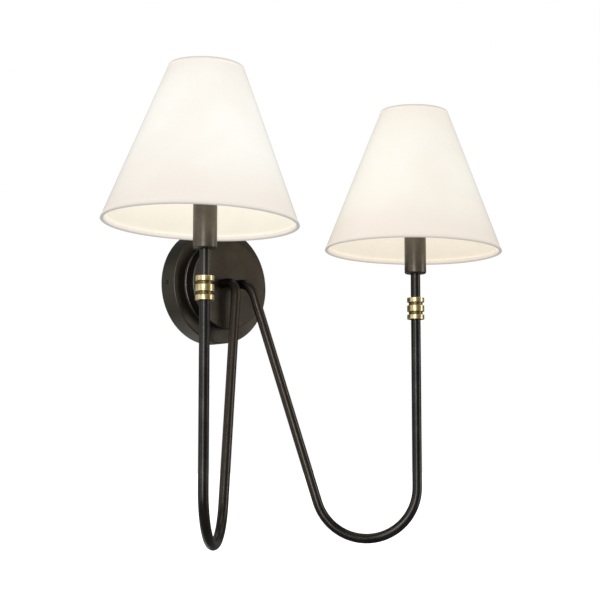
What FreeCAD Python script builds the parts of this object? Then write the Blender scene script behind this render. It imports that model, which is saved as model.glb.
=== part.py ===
import FreeCAD, Part
import math
import os

from FreeCAD import Rotation, Vector

# Double arm wall sconce, in millimetres.
# The wall is the plane Y = 0, the room lies towards -Y, and +Z is up.
# The origin is the centre of the canopy's back, on the wall.

# ---------------------------------------------------------------- driving dimensions

# canopy: the round cup that covers the junction box
CANOPY_DIAMETER = 127.0
CANOPY_DEPTH = 23.0
CANOPY_WALL = 1.6
CANOPY_EDGE_ROUND = 1.4

# boss cap: the raised round step on the canopy's front
BOSS_DIAMETER = 96.4
BOSS_HEIGHT = 14.0
BOSS_WALL = 2.4
BOSS_EDGE_ROUND = 1.2
BOSS_FOOT_WIDTH = 1.3
BOSS_FOOT_HEIGHT = 1.9
BOSS_FOOT_ROUND = 1.2
BOSS_HUB_WALL = 3.0
BOSS_SCREW_OFFSET = 33.0
BOSS_SCREW_DIAMETER = 4.0
BOSS_SCREW_HEAD_DIAMETER = 8.0
BOSS_SCREW_HEAD_HEIGHT = 2.2
BOSS_SCREW_HUB_WALL = 2.4
BOSS_SCREW_GRIP = 8.0
BOSS_SCREW_HOLE_SPARE = 1.0

# mounting bracket: the strap that the canopy is screwed to
BRACKET_WIDTH = 22.0
BRACKET_THICKNESS = 2.0
BRACKET_EAR_HEIGHT = 15.0
BOX_SCREW_SPACING = 88.9
BOX_SLOT_LENGTH = 13.0
BOX_SLOT_WIDTH = 4.8
GROUND_SCREW_DIAMETER = 4.0
GROUND_SCREW_OFFSET = 22.0
GROUND_HEAD_DIAMETER = 8.5
GROUND_HEAD_HEIGHT = 2.4

# screws in the canopy's rim, at nine and three o'clock
RIM_SCREW_DIAMETER = 3.0
RIM_SCREW_HEAD_DIAMETER = 4.4
RIM_SCREW_HEAD_HEIGHT = 0.9
RIM_SCREW_LENGTH = 7.0
RIM_SCREW_PAST_MIDDLE = 1.0

# heads of the slotted screws, as shares of the head's height and radius
HEAD_ROUND_SHARE = 0.45
HEAD_SLOT_DEPTH_SHARE = 0.5
HEAD_SLOT_WIDTH_SHARE = 0.3

# bent arms, one tube each
TUBE_DIAMETER = 10.3
TUBE_WALL = 1.0
ARM_SPACING = 19.0
ARM_CORNER_REACH = 62.0
ARM_TOP_BEND_RADIUS = 20.0
ARM_BOTTOM_BEND_RADIUS = 54.0
ARM_DROP = 272.0
STEM_SPREAD = 284.0
STEM_REACH = 180.0
ARM_THREAD_SHOWING = 2.0

# brass collar where the arm meets the upper stem
COLLAR_TOP = -16.5
COLLAR_RING_DIAMETER = 18.4
COLLAR_GROOVE_DIAMETER = 14.8
COLLAR_END_RING = 4.9
COLLAR_MIDDLE_RING = 6.6
COLLAR_GROOVE = 3.4
COLLAR_EDGE_ROUND = 0.4
COLLAR_WEB = 3.0

# cup that hides the lamp holder
CUP_BOTTOM = 9.5
CUP_DIAMETER = 23.2
CUP_HEIGHT = 74.0
CUP_WALL = 1.2
CUP_FLOOR = 2.0
CUP_EDGE_ROUND = 1.9

# threaded end of the upper stem, which passes through the cup's floor
TENON_DIAMETER = 9.5
TENON_THREAD_SHOWING = 1.0

# lamp holder for a small screw base
HOLDER_DIAMETER = 19.2
HOLDER_HEIGHT = 38.0
HOLDER_INSET = 1.5
HOLDER_EDGE_ROUND = 0.6
SHELL_WALL = 0.4
SHELL_INSET = 2.0
TONGUE_DIAMETER = 5.0
TONGUE_HEIGHT = 2.0
YOKE_THICKNESS = 1.6
YOKE_LEG_WIDTH = 7.0

# bulb
BULB_BASE_DIAMETER = 11.9
BULB_BASE_LENGTH = 18.0
BULB_BASE_SHOWING = 1.5
BULB_BASE_BEVEL = 2.0
BULB_BASE_BEVEL_HEIGHT = 1.0
BULB_BASE_PLAIN = 3.0
BULB_THREAD_DEPTH = 0.45
BULB_THREAD_PITCH = 2.5
BULB_EYELET_DIAMETER = 4.4
BULB_EYELET_HEIGHT = 2.2
BULB_GLASS_DIAMETER = 35.0
BULB_GLASS_LENGTH = 77.0
BULB_GLASS_WALL = 0.8
BULB_NECK_INSET = 0.4
BULB_NECK_RISE = 9.0
BULB_NECK_FLARE = 3.5
BULB_WIDEST_UP = 27.7
BULB_BELLY_DROP = 14.0
BULB_BELLY_RISE = 23.0
BULB_TIP_BREADTH = 5.5
FILAMENT_DIAMETER = 4.0
FILAMENT_LENGTH = 44.0
FILAMENT_FOOT = 10.0

# shade
SHADE_BOTTOM = 33.0
SHADE_HEIGHT = 154.0
SHADE_TOP_DIAMETER = 73.0
SHADE_BOTTOM_DIAMETER = 190.5
SHADE_THICKNESS = 0.8
TRIM_THICKNESS = 0.4
TRIM_HEIGHT = 4.0
TOP_TRIM_HEIGHT = 3.0
RING_WIRE_DIAMETER = 1.6
BAR_DIAMETER = 3.0
BAR_DROP = 8.0
BAR_BEND_RADIUS = 3.0
LEFT_SHADE_LEAN = 2.3
RIGHT_SHADE_LEAN = 1.3

# clip that sits on the bulb and carries the shade
CLIP_HUB_WALL = 1.4
CLIP_HUB_LENGTH = 12.0
CLIP_PLATE_DIAMETER = 13.0
CLIP_PLATE_THICKNESS = 1.5
CLIP_WIRE_DIAMETER = 1.8
CLIP_LEGS = 4
CLIP_SHOULDER_DROP = 10.0
CLIP_BEND_RADIUS = 6.0

# nuts, washers, wiring
NUT_ACROSS_FLATS = 14.3
NUT_HEIGHT = 3.2
NUT_CHAMFER = 0.6
WASHER_DIAMETER = 17.0
WASHER_THICKNESS = 0.8
LEAD_DIAMETER = 4.0
LEAD_BEND_RADIUS = 6.0
LEAD_RISE = 20.0
LEAD_TAIL_GAP = 0.5
CONNECTOR_MOUTH_DIAMETER = 13.0
CONNECTOR_TIP_DIAMETER = 8.0
CONNECTOR_LENGTH = 22.0
CONNECTOR_MOUTH_DEPTH = 6.0
CONNECTOR_SKIRT = 6.6

# clearances
PRESS_GAP = 0.02
SLIP_GAP = 0.10
RUNNING_GAP = 0.06
SCREW_GAP = 0.20
LOOSE_GAP = 0.30

# how far a cutting shape runs past the face that it opens
CUT_SPARE = 1.0

# ---------------------------------------------------------------- derived sizes

X_AXIS = Vector(1, 0, 0)
Y_AXIS = Vector(0, 1, 0)
Z_AXIS = Vector(0, 0, 1)
ORIGIN = Vector(0, 0, 0)

tube_radius = TUBE_DIAMETER / 2
bore_radius = tube_radius - TUBE_WALL
arm_offset = ARM_SPACING / 2
stem_offset = STEM_SPREAD / 2
canopy_radius = CANOPY_DIAMETER / 2
canopy_inner_radius = canopy_radius - CANOPY_WALL
canopy_inner_depth = CANOPY_DEPTH - CANOPY_WALL
boss_front = CANOPY_DEPTH + BOSS_HEIGHT
nut_seat = canopy_inner_depth - WASHER_THICKNESS
arm_tail_end = nut_seat - NUT_HEIGHT - ARM_THREAD_SHOWING
rim_screw_reach = (BRACKET_EAR_HEIGHT + BRACKET_THICKNESS) / 2 + RIM_SCREW_PAST_MIDDLE

collar_height = 2 * COLLAR_END_RING + COLLAR_MIDDLE_RING + 2 * COLLAR_GROOVE
collar_bottom = COLLAR_TOP - collar_height
collar_middle = COLLAR_TOP - collar_height / 2

cup_radius = CUP_DIAMETER / 2
cup_floor_top = CUP_BOTTOM + CUP_FLOOR
cup_top = CUP_BOTTOM + CUP_HEIGHT
cup_nut_top = cup_floor_top + NUT_HEIGHT
tenon_radius = TENON_DIAMETER / 2
stem_top = cup_nut_top + YOKE_THICKNESS + TENON_THREAD_SHOWING
holder_top = cup_top - HOLDER_INSET
holder_bottom = holder_top - HOLDER_HEIGHT
shell_inner_radius = BULB_BASE_DIAMETER / 2 + SLIP_GAP
shell_outer_radius = shell_inner_radius + SHELL_WALL
bulb_base_top = holder_top + BULB_BASE_SHOWING
bulb_base_bottom = bulb_base_top - BULB_BASE_LENGTH
holder_cavity_floor = bulb_base_bottom - BULB_EYELET_HEIGHT - LOOSE_GAP - TONGUE_HEIGHT
bulb_tip = bulb_base_top + BULB_GLASS_LENGTH
bulb_neck_radius = BULB_BASE_DIAMETER / 2 - BULB_NECK_INSET
bulb_widest_radius = BULB_GLASS_DIAMETER / 2
bulb_widest_height = bulb_base_top + BULB_WIDEST_UP

shade_top = SHADE_BOTTOM + SHADE_HEIGHT
shade_outer_bottom_radius = SHADE_BOTTOM_DIAMETER / 2 - TRIM_THICKNESS
shade_outer_top_radius = SHADE_TOP_DIAMETER / 2 - TRIM_THICKNESS
shade_slope = (shade_outer_bottom_radius - shade_outer_top_radius) / SHADE_HEIGHT
ring_stand_off = (RING_WIRE_DIAMETER / 2 + PRESS_GAP) * math.sqrt(1 + shade_slope ** 2)
bar_height = shade_top - BAR_DROP

SIDES = {"left": -1, "right": 1}
LEANS = {"left": LEFT_SHADE_LEAN, "right": RIGHT_SHADE_LEAN}


# ---------------------------------------------------------------- helpers

def turned(outline):
    """Solid of revolution about Z from corners given as (radius, height)."""
    corners = [Vector(radius, 0, height) for radius, height in outline]
    face = Part.Face(Part.makePolygon(corners + corners[:1]))
    return face.revolve(ORIGIN, Z_AXIS, 360)


def cylinder(radius, bottom, top):
    """Upright cylinder about Z between two heights."""
    return Part.makeCylinder(radius, top - bottom, Vector(0, 0, bottom))


def tube(outer, inner, bottom, top):
    """Upright hollow cylinder about Z."""
    return turned([(inner, bottom), (outer, bottom), (outer, top), (inner, top)])


def facing_room(shape):
    """Turn a shape made along +Z so that it points from the wall into the room."""
    turned_shape = shape.copy()
    turned_shape.rotate(ORIGIN, X_AXIS, 90)
    return turned_shape


def moved(shape, x=0.0, y=0.0, z=0.0):
    """Copy of a shape, shifted."""
    copy = shape.copy()
    copy.translate(Vector(x, y, z))
    return copy


def on_stem(shape, side):
    """Put a shape made about Z on the axis of the left or right stem."""
    return moved(shape, x=SIDES[side] * stem_offset, y=-STEM_REACH)


def circle_edges(shape, radius, height):
    """Circular edges about Z of one radius at one height."""
    found = []
    for edge in shape.Edges:
        curve = edge.Curve
        if not isinstance(curve, Part.Circle):
            continue
        same_radius = abs(curve.Radius - radius) < 1e-6
        same_height = abs(curve.Center.z - height) < 1e-6
        if same_radius and same_height:
            found.append(edge)
    return found


def rounded_route(corners, radii):
    """Wire of straight runs joined by tangent arcs, one radius for each inner corner."""
    edges = []
    start = corners[0]
    for index, radius in enumerate(radii, 1):
        corner = corners[index]
        back = (corners[index - 1] - corner).normalize()
        ahead = (corners[index + 1] - corner).normalize()
        half_angle = math.acos(max(-1.0, min(1.0, back.dot(ahead)))) / 2
        tangent_length = radius / math.tan(half_angle)
        arc_start = corner + back * tangent_length
        arc_end = corner + ahead * tangent_length
        bisector = (back + ahead).normalize()
        centre = corner + bisector * (radius / math.sin(half_angle))
        arc_middle = centre - bisector * radius
        edges.append(Part.LineSegment(start, arc_start).toShape())
        edges.append(Part.Arc(arc_start, arc_middle, arc_end).toShape())
        start = arc_end
    edges.append(Part.LineSegment(start, corners[-1]).toShape())
    return Part.Wire(edges)


def swept_rod(route, radius):
    """Round rod of one radius along a route."""
    start = route.Vertexes[0].Point
    direction = route.Edges[0].tangentAt(route.Edges[0].FirstParameter)
    section = Part.Wire(Part.makeCircle(radius, start, direction))
    return route.makePipeShell([section], True, True)


def hex_nut(bore, height):
    """Hexagon nut standing on Z = 0."""
    corner_radius = NUT_ACROSS_FLATS / 2 / math.cos(math.pi / 6)
    corners = []
    for step in range(7):
        angle = math.radians(60 * step)
        corners.append(Vector(corner_radius * math.cos(angle), corner_radius * math.sin(angle), 0))
    blank = Part.Face(Part.makePolygon(corners)).extrude(Vector(0, 0, height))
    chamfer = turned([
        (0, 0), (corner_radius, 0), (corner_radius, height - NUT_CHAMFER),
        (NUT_ACROSS_FLATS / 2, height), (0, height)])
    return blank.common(chamfer).cut(cylinder(bore, -CUT_SPARE, height + CUT_SPARE))


def slotted_screw(head_radius, head_height, shank_radius, length):
    """Screw along Z: head above Z = 0 with a driving slot, shank below."""
    head = cylinder(head_radius, 0, head_height)
    rounding = head_height * HEAD_ROUND_SHARE
    head = head.makeFillet(rounding, circle_edges(head, head_radius, head_height))
    slot_width = head_radius * HEAD_SLOT_WIDTH_SHARE
    slot_floor = head_height * (1 - HEAD_SLOT_DEPTH_SHARE)
    slot = Part.makeBox(
        3 * head_radius, slot_width, head_height,
        Vector(-1.5 * head_radius, -slot_width / 2, slot_floor))
    return head.cut(slot).fuse(cylinder(shank_radius, -length, 0)).removeSplitter()


def bored(shape, radius):
    """Cut an upright hole about Z right through a shape."""
    box = shape.BoundBox
    return shape.cut(cylinder(radius, box.ZMin - CUT_SPARE, box.ZMax + CUT_SPARE))


# ---------------------------------------------------------------- wall end

def make_bracket():
    """Steel strap against the wall, its ears bent out to meet the canopy's rim."""
    ear_outer = canopy_inner_radius - LOOSE_GAP - BRACKET_WIDTH ** 2 / (8 * canopy_inner_radius)
    half_width = BRACKET_WIDTH / 2
    strap = Part.makeBox(
        2 * ear_outer, BRACKET_THICKNESS, BRACKET_WIDTH,
        Vector(-ear_outer, -BRACKET_THICKNESS, -half_width))
    for sign in (-1, 1):
        inner_x = ear_outer - BRACKET_THICKNESS
        ear = Part.makeBox(
            BRACKET_THICKNESS, BRACKET_EAR_HEIGHT, BRACKET_WIDTH,
            Vector(inner_x if sign > 0 else -ear_outer, -BRACKET_EAR_HEIGHT, -half_width))
        strap = strap.fuse(ear)
        hole = Part.makeCylinder(
            RIM_SCREW_DIAMETER / 2 + PRESS_GAP, 4 * BRACKET_THICKNESS,
            Vector(sign * (ear_outer - 2 * BRACKET_THICKNESS), -rim_screw_reach, 0),
            Vector(sign, 0, 0))
        strap = strap.cut(hole)
        strap = strap.cut(box_slot(sign * BOX_SCREW_SPACING / 2))
    ground_hole = Part.makeCylinder(
        GROUND_SCREW_DIAMETER / 2 + PRESS_GAP, 3 * BRACKET_THICKNESS,
        Vector(GROUND_SCREW_OFFSET, BRACKET_THICKNESS, 0), Vector(0, -1, 0))
    return strap.cut(ground_hole).removeSplitter()


def box_slot(centre_x):
    """Cutter for one slot that takes a junction box screw."""
    radius = BOX_SLOT_WIDTH / 2
    straight = BOX_SLOT_LENGTH - BOX_SLOT_WIDTH
    depth = 3 * BRACKET_THICKNESS
    cutter = Part.makeBox(
        straight, depth, BOX_SLOT_WIDTH,
        Vector(centre_x - straight / 2, -depth + BRACKET_THICKNESS, -radius))
    for end in (-1, 1):
        cutter = cutter.fuse(Part.makeCylinder(
            radius, depth,
            Vector(centre_x + end * straight / 2, BRACKET_THICKNESS, 0), Vector(0, -1, 0)))
    return cutter


def make_ground_screw():
    """Earthing screw in the strap."""
    screw = slotted_screw(
        GROUND_HEAD_DIAMETER / 2, GROUND_HEAD_HEIGHT,
        GROUND_SCREW_DIAMETER / 2, BRACKET_THICKNESS - LOOSE_GAP)
    return moved(facing_room(screw), x=GROUND_SCREW_OFFSET, y=-BRACKET_THICKNESS)


def make_canopy():
    """Spun cup with a flat front, open towards the wall."""
    shell = cylinder(canopy_radius, 0, CANOPY_DEPTH)
    shell = shell.makeFillet(CANOPY_EDGE_ROUND, circle_edges(shell, canopy_radius, CANOPY_DEPTH))
    shell = shell.cut(cylinder(canopy_inner_radius, -CUT_SPARE, canopy_inner_depth))
    for sign in (-1, 1):
        shell = shell.cut(moved(
            cylinder(tube_radius + SLIP_GAP, 0, 2 * CANOPY_DEPTH), x=sign * arm_offset))
        shell = shell.cut(moved(
            cylinder(BOSS_SCREW_DIAMETER / 2 + SCREW_GAP, 0, 2 * CANOPY_DEPTH),
            y=sign * BOSS_SCREW_OFFSET))
        rim_hole = Part.makeCylinder(
            RIM_SCREW_DIAMETER / 2 + SCREW_GAP, 4 * CANOPY_WALL,
            Vector(sign * (canopy_radius - 3 * CANOPY_WALL), 0, rim_screw_reach),
            Vector(sign, 0, 0))
        shell = shell.cut(rim_hole)
    return facing_room(shell)


def make_rim_screws():
    """The two screws that hold the canopy to the bracket's ears."""
    screws = []
    for sign in (-1, 1):
        screw = slotted_screw(
            RIM_SCREW_HEAD_DIAMETER / 2, RIM_SCREW_HEAD_HEIGHT,
            RIM_SCREW_DIAMETER / 2, RIM_SCREW_LENGTH)
        screw.rotate(ORIGIN, Y_AXIS, sign * 90)
        screws.append(moved(screw, x=sign * (canopy_radius + PRESS_GAP), y=-rim_screw_reach))
    return Part.makeCompound(screws)


def make_boss():
    """Hollow cap on the canopy's front, with a rounded foot and a threaded hub for each arm."""
    radius = BOSS_DIAMETER / 2
    foot_radius = radius + BOSS_FOOT_WIDTH
    foot_top = CANOPY_DEPTH + BOSS_FOOT_HEIGHT
    cap = cylinder(radius, CANOPY_DEPTH, boss_front)
    cap = cap.makeFillet(BOSS_EDGE_ROUND, circle_edges(cap, radius, boss_front))
    foot = cylinder(foot_radius, CANOPY_DEPTH, foot_top)
    foot = foot.makeFillet(BOSS_FOOT_ROUND, circle_edges(foot, foot_radius, foot_top))
    cap = cap.fuse(foot)
    cap = cap.cut(cylinder(
        radius - BOSS_WALL, CANOPY_DEPTH - CUT_SPARE, boss_front - BOSS_WALL))
    hub_radius = tube_radius + BOSS_HUB_WALL
    screw_hub_radius = BOSS_SCREW_DIAMETER / 2 + BOSS_SCREW_HUB_WALL
    hub_top = boss_front - BOSS_WALL / 2
    for sign in (-1, 1):
        cap = cap.fuse(moved(cylinder(hub_radius, CANOPY_DEPTH, hub_top), x=sign * arm_offset))
        cap = cap.fuse(moved(
            cylinder(screw_hub_radius, CANOPY_DEPTH, hub_top), y=sign * BOSS_SCREW_OFFSET))
    hole_end = CANOPY_DEPTH + BOSS_SCREW_GRIP + BOSS_SCREW_HOLE_SPARE
    for sign in (-1, 1):
        cap = cap.cut(moved(
            cylinder(tube_radius + PRESS_GAP, 0, 2 * boss_front), x=sign * arm_offset))
        cap = cap.cut(moved(
            cylinder(BOSS_SCREW_DIAMETER / 2 + PRESS_GAP, 0, hole_end),
            y=sign * BOSS_SCREW_OFFSET))
    return facing_room(cap.removeSplitter())


def make_boss_screws():
    """The two screws from inside the canopy into the boss cap."""
    screws = []
    for sign in (-1, 1):
        screw = slotted_screw(
            BOSS_SCREW_HEAD_DIAMETER / 2, BOSS_SCREW_HEAD_HEIGHT,
            BOSS_SCREW_DIAMETER / 2, CANOPY_WALL + BOSS_SCREW_GRIP)
        screw.rotate(ORIGIN, X_AXIS, 180)
        screw = moved(screw, y=sign * BOSS_SCREW_OFFSET, z=canopy_inner_depth)
        screws.append(facing_room(screw))
    return Part.makeCompound(screws)


def make_arm_washers():
    """Washers under the arm nuts, inside the canopy."""
    washer = tube(WASHER_DIAMETER / 2, tube_radius + SLIP_GAP, nut_seat, canopy_inner_depth)
    return Part.makeCompound(
        [facing_room(moved(washer, x=sign * arm_offset)) for sign in (-1, 1)])


def make_arm_nuts():
    """Lock nuts on the threaded tails of the arms."""
    nut = hex_nut(tube_radius + PRESS_GAP, NUT_HEIGHT)
    nut.rotate(ORIGIN, Y_AXIS, 180)
    nut.rotate(ORIGIN, Z_AXIS, 30)
    return Part.makeCompound(
        [facing_room(moved(nut, x=sign * arm_offset, z=nut_seat)) for sign in (-1, 1)])


# ---------------------------------------------------------------- arms

def leg_lean(plan_length):
    """Angle from plumb of the leg that runs from the top corner to the bottom bend."""
    centre_out = plan_length - ARM_BOTTOM_BEND_RADIUS
    centre_down = ARM_DROP - ARM_BOTTOM_BEND_RADIUS
    to_centre = math.hypot(centre_out, centre_down)
    return math.atan2(centre_out, centre_down) - math.asin(ARM_BOTTOM_BEND_RADIUS / to_centre)


def arm_corners(side):
    """Corners of the arm's centre line: wall end, top corner, bottom corner, stem end."""
    sign = SIDES[side]
    top_corner = Vector(sign * arm_offset, -ARM_CORNER_REACH, 0)
    stem_foot = Vector(sign * stem_offset, -STEM_REACH, 0)
    plan_length = (stem_foot - top_corner).Length
    bottom = -plan_length / math.tan(leg_lean(plan_length))
    return [
        Vector(sign * arm_offset, -arm_tail_end, 0),
        top_corner,
        Vector(sign * stem_offset, -STEM_REACH, bottom),
        Vector(sign * stem_offset, -STEM_REACH, collar_middle - COLLAR_WEB / 2)]


def make_arm(side):
    """Bent tube from the canopy, out, down, round the bottom bend and up to the collar."""
    route = rounded_route(arm_corners(side), [ARM_TOP_BEND_RADIUS, ARM_BOTTOM_BEND_RADIUS])
    return swept_rod(route, tube_radius).cut(swept_rod(route, bore_radius))


def make_collar():
    """Turned brass collar: three rings, two grooves, a socket for a tube at each end."""
    ring = COLLAR_RING_DIAMETER / 2
    body = cylinder(COLLAR_GROOVE_DIAMETER / 2, collar_bottom, COLLAR_TOP)
    height = collar_bottom
    for ring_length in (COLLAR_END_RING, COLLAR_MIDDLE_RING, COLLAR_END_RING):
        band = cylinder(ring, height, height + ring_length)
        edges = circle_edges(band, ring, height) + circle_edges(band, ring, height + ring_length)
        body = body.fuse(band.makeFillet(COLLAR_EDGE_ROUND, edges))
        height += ring_length + COLLAR_GROOVE
    socket_radius = tube_radius + PRESS_GAP
    body = body.removeSplitter()
    body = body.cut(cylinder(
        socket_radius, collar_bottom - CUT_SPARE, collar_middle - COLLAR_WEB / 2))
    body = body.cut(cylinder(
        socket_radius, collar_middle + COLLAR_WEB / 2, COLLAR_TOP + CUT_SPARE))
    return bored(body, bore_radius)


def make_stem():
    """Short tube from the collar up to the cup, its threaded end turned down to a shoulder."""
    foot = collar_middle + COLLAR_WEB / 2
    return turned([
        (bore_radius, foot), (tube_radius, foot), (tube_radius, CUP_BOTTOM),
        (tenon_radius, CUP_BOTTOM), (tenon_radius, stem_top), (bore_radius, stem_top)])


# ---------------------------------------------------------------- lamp holder

def make_cup():
    """Plain metal cup that sits on the stem's shoulder, with a hole in its floor."""
    shell = cylinder(cup_radius, CUP_BOTTOM, cup_top)
    shell = shell.makeFillet(CUP_EDGE_ROUND, circle_edges(shell, cup_radius, CUP_BOTTOM))
    shell = shell.cut(cylinder(cup_radius - CUP_WALL, cup_floor_top, cup_top + CUT_SPARE))
    return bored(shell, tenon_radius + SLIP_GAP)


def make_cup_nuts():
    """Lock nuts that hold each cup down on its stem."""
    nut = hex_nut(tenon_radius + PRESS_GAP, NUT_HEIGHT)
    return Part.makeCompound([on_stem(moved(nut, z=cup_floor_top), side) for side in SIDES])


def make_yoke():
    """Steel yoke on the stem's end: a ring, two legs and a plate under the holder."""
    outer = HOLDER_DIAMETER / 2
    ring = tube(outer, tenon_radius + PRESS_GAP, cup_nut_top, cup_nut_top + YOKE_THICKNESS)
    plate_bottom = holder_bottom - YOKE_THICKNESS
    plate = tube(outer, LEAD_DIAMETER / 2 + LOOSE_GAP, plate_bottom, holder_bottom)
    legs = tube(outer, outer - YOKE_THICKNESS, cup_nut_top, holder_bottom)
    band = Part.makeBox(
        CUP_DIAMETER, YOKE_LEG_WIDTH, holder_bottom - cup_nut_top,
        Vector(-cup_radius, -YOKE_LEG_WIDTH / 2, cup_nut_top))
    return ring.fuse([plate, legs.common(band)]).removeSplitter()


def make_holder():
    """Moulded body of the lamp holder, its cavity open at the top."""
    outer = HOLDER_DIAMETER / 2
    body = turned([
        (0, holder_bottom), (outer, holder_bottom), (outer, holder_top),
        (shell_outer_radius + PRESS_GAP, holder_top),
        (shell_outer_radius + PRESS_GAP, holder_cavity_floor), (0, holder_cavity_floor)])
    return body.makeFillet(HOLDER_EDGE_ROUND, circle_edges(body, outer, holder_top))


def make_holder_shell():
    """Brass sleeve that the bulb's base screws into."""
    return tube(
        shell_outer_radius, shell_inner_radius, holder_cavity_floor, holder_top - SHELL_INSET)


def make_holder_contact():
    """Brass button at the bottom of the lamp holder."""
    radius = TONGUE_DIAMETER / 2
    return cylinder(radius, holder_cavity_floor, holder_cavity_floor + TONGUE_HEIGHT)


# ---------------------------------------------------------------- bulb

def bulb_outline(inset):
    """Two curved edges of the glass, neck to belly and belly to tip, drawn inwards by the wall."""
    neck = bulb_neck_radius - inset
    belly = bulb_widest_radius - inset
    tip = bulb_tip - inset
    lower = Part.BezierCurve()
    lower.setPoles([
        Vector(neck, 0, bulb_base_top),
        Vector(neck + BULB_NECK_FLARE, 0, bulb_base_top + BULB_NECK_RISE),
        Vector(belly, 0, bulb_widest_height - BULB_BELLY_DROP),
        Vector(belly, 0, bulb_widest_height)])
    upper = Part.BezierCurve()
    upper.setPoles([
        Vector(belly, 0, bulb_widest_height),
        Vector(belly, 0, bulb_widest_height + BULB_BELLY_RISE),
        Vector(BULB_TIP_BREADTH - inset, 0, tip),
        Vector(0, 0, tip)])
    return [lower.toBSpline().toShape(), upper.toBSpline().toShape()]


def make_bulb_glass():
    """Candle shaped glass envelope with an open neck."""
    outer = bulb_outline(0)
    inner = bulb_outline(BULB_GLASS_WALL)
    tip = Part.LineSegment(Vector(0, 0, bulb_tip), Vector(0, 0, bulb_tip - BULB_GLASS_WALL)).toShape()
    lip = Part.LineSegment(
        Vector(bulb_neck_radius - BULB_GLASS_WALL, 0, bulb_base_top),
        Vector(bulb_neck_radius, 0, bulb_base_top)).toShape()
    face = Part.Face(Part.Wire(Part.__sortEdges__([*outer, tip, *inner, lip])))
    return face.revolve(ORIGIN, Z_AXIS, 360)


def make_bulb_base():
    """Brass screw base, closed at the top by the seat of the glass."""
    crest = BULB_BASE_DIAMETER / 2
    root = crest - BULB_THREAD_DEPTH
    outline = [(0, bulb_base_bottom), (crest - BULB_BASE_BEVEL, bulb_base_bottom)]
    height = bulb_base_bottom + BULB_BASE_BEVEL_HEIGHT
    threaded = bulb_base_top - BULB_BASE_PLAIN - height
    for _ in range(int(threaded / BULB_THREAD_PITCH)):
        outline += [(root, height), (crest, height + BULB_THREAD_PITCH / 2)]
        height += BULB_THREAD_PITCH
    outline += [(root, height), (root, bulb_base_top), (0, bulb_base_top)]
    return turned(outline)


def make_bulb_eyelet():
    """Contact at the bottom of the bulb's base."""
    radius = BULB_EYELET_DIAMETER / 2
    return turned([
        (0, bulb_base_bottom - BULB_EYELET_HEIGHT), (radius / 2, bulb_base_bottom - BULB_EYELET_HEIGHT),
        (radius, bulb_base_bottom - BULB_EYELET_HEIGHT / 2), (radius, bulb_base_bottom),
        (0, bulb_base_bottom)])


def make_filament():
    """Slim post that carries the filaments inside the glass."""
    radius = FILAMENT_DIAMETER / 2
    return turned([
        (0, bulb_base_top), (radius, bulb_base_top), (radius / 2, bulb_base_top + FILAMENT_FOOT),
        (radius / 2, bulb_base_top + FILAMENT_LENGTH), (0, bulb_base_top + FILAMENT_LENGTH)])


# ---------------------------------------------------------------- shade

def shade_radius(height):
    """Outer radius of the shade's cloth at a height."""
    return shade_outer_bottom_radius - shade_slope * (height - SHADE_BOTTOM)


def leaned(shape, side):
    """Tip a piece of the shade about its bar, as it hangs on the clip."""
    copy = on_stem(shape, side)
    pivot = Vector(SIDES[side] * stem_offset, -STEM_REACH, bar_height)
    copy.rotate(pivot, Y_AXIS, LEANS[side])
    return copy


def make_shade():
    """Lined cloth cone, open at both ends."""
    low = SHADE_BOTTOM + TRIM_THICKNESS
    high = shade_top - TRIM_THICKNESS
    return turned([
        (shade_radius(low), low), (shade_radius(high), high),
        (shade_radius(high) - SHADE_THICKNESS, high), (shade_radius(low) - SHADE_THICKNESS, low)])


def make_wire_ring(height):
    """Wire ring lying against the inside of the cloth at a height."""
    major = shade_radius(height) - SHADE_THICKNESS - ring_stand_off
    return Part.makeTorus(major, RING_WIRE_DIAMETER / 2, Vector(0, 0, height))


def make_trim(edge_height, band, upward):
    """Folded binding that wraps an edge of the cloth and the wire ring behind it."""
    direction = 1 if upward else -1
    inside_depth = SHADE_THICKNESS + 2 * ring_stand_off + PRESS_GAP
    inner_edge = edge_height + direction * TRIM_THICKNESS
    far = edge_height + direction * band

    def outer(height, step):
        return shade_radius(height) + PRESS_GAP + step

    def inner(height, step):
        return shade_radius(height) - inside_depth - step

    return turned([
        (outer(edge_height, TRIM_THICKNESS), edge_height),
        (outer(far, TRIM_THICKNESS), far),
        (outer(far, 0), far),
        (outer(inner_edge, 0), inner_edge - direction * PRESS_GAP),
        (inner(inner_edge, 0), inner_edge - direction * PRESS_GAP),
        (inner(far, 0), far),
        (inner(far, TRIM_THICKNESS), far),
        (inner(edge_height, TRIM_THICKNESS), edge_height)])


def ring_height(edge_height, upward):
    """Height of a wire ring's centre just inside an edge of the shade."""
    direction = 1 if upward else -1
    return edge_height + direction * (TRIM_THICKNESS + RING_WIRE_DIAMETER / 2 + PRESS_GAP)


def bar_blank(radius):
    """Round bar across the shade below the top ring, with a post up to the ring at each end."""
    post_reach = shade_radius(shade_top) - SHADE_THICKNESS - ring_stand_off - BAR_DIAMETER / 2
    route = rounded_route(
        [
            Vector(0, -post_reach, ring_height(shade_top, False)),
            Vector(0, -post_reach, bar_height),
            Vector(0, post_reach, bar_height),
            Vector(0, post_reach, ring_height(shade_top, False))],
        [BAR_BEND_RADIUS, BAR_BEND_RADIUS])
    return swept_rod(route, radius)


def make_bar():
    """Cross bar that hangs the shade, brazed to the top ring."""
    return bar_blank(BAR_DIAMETER / 2).cut(make_wire_ring(ring_height(shade_top, False)))


def make_top_trim():
    """Binding of the top edge, notched where the bar's posts come down."""
    trim = make_trim(shade_top, TOP_TRIM_HEIGHT, False)
    return trim.cut(bar_blank(BAR_DIAMETER / 2 + SLIP_GAP))


# ---------------------------------------------------------------- clip

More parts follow.
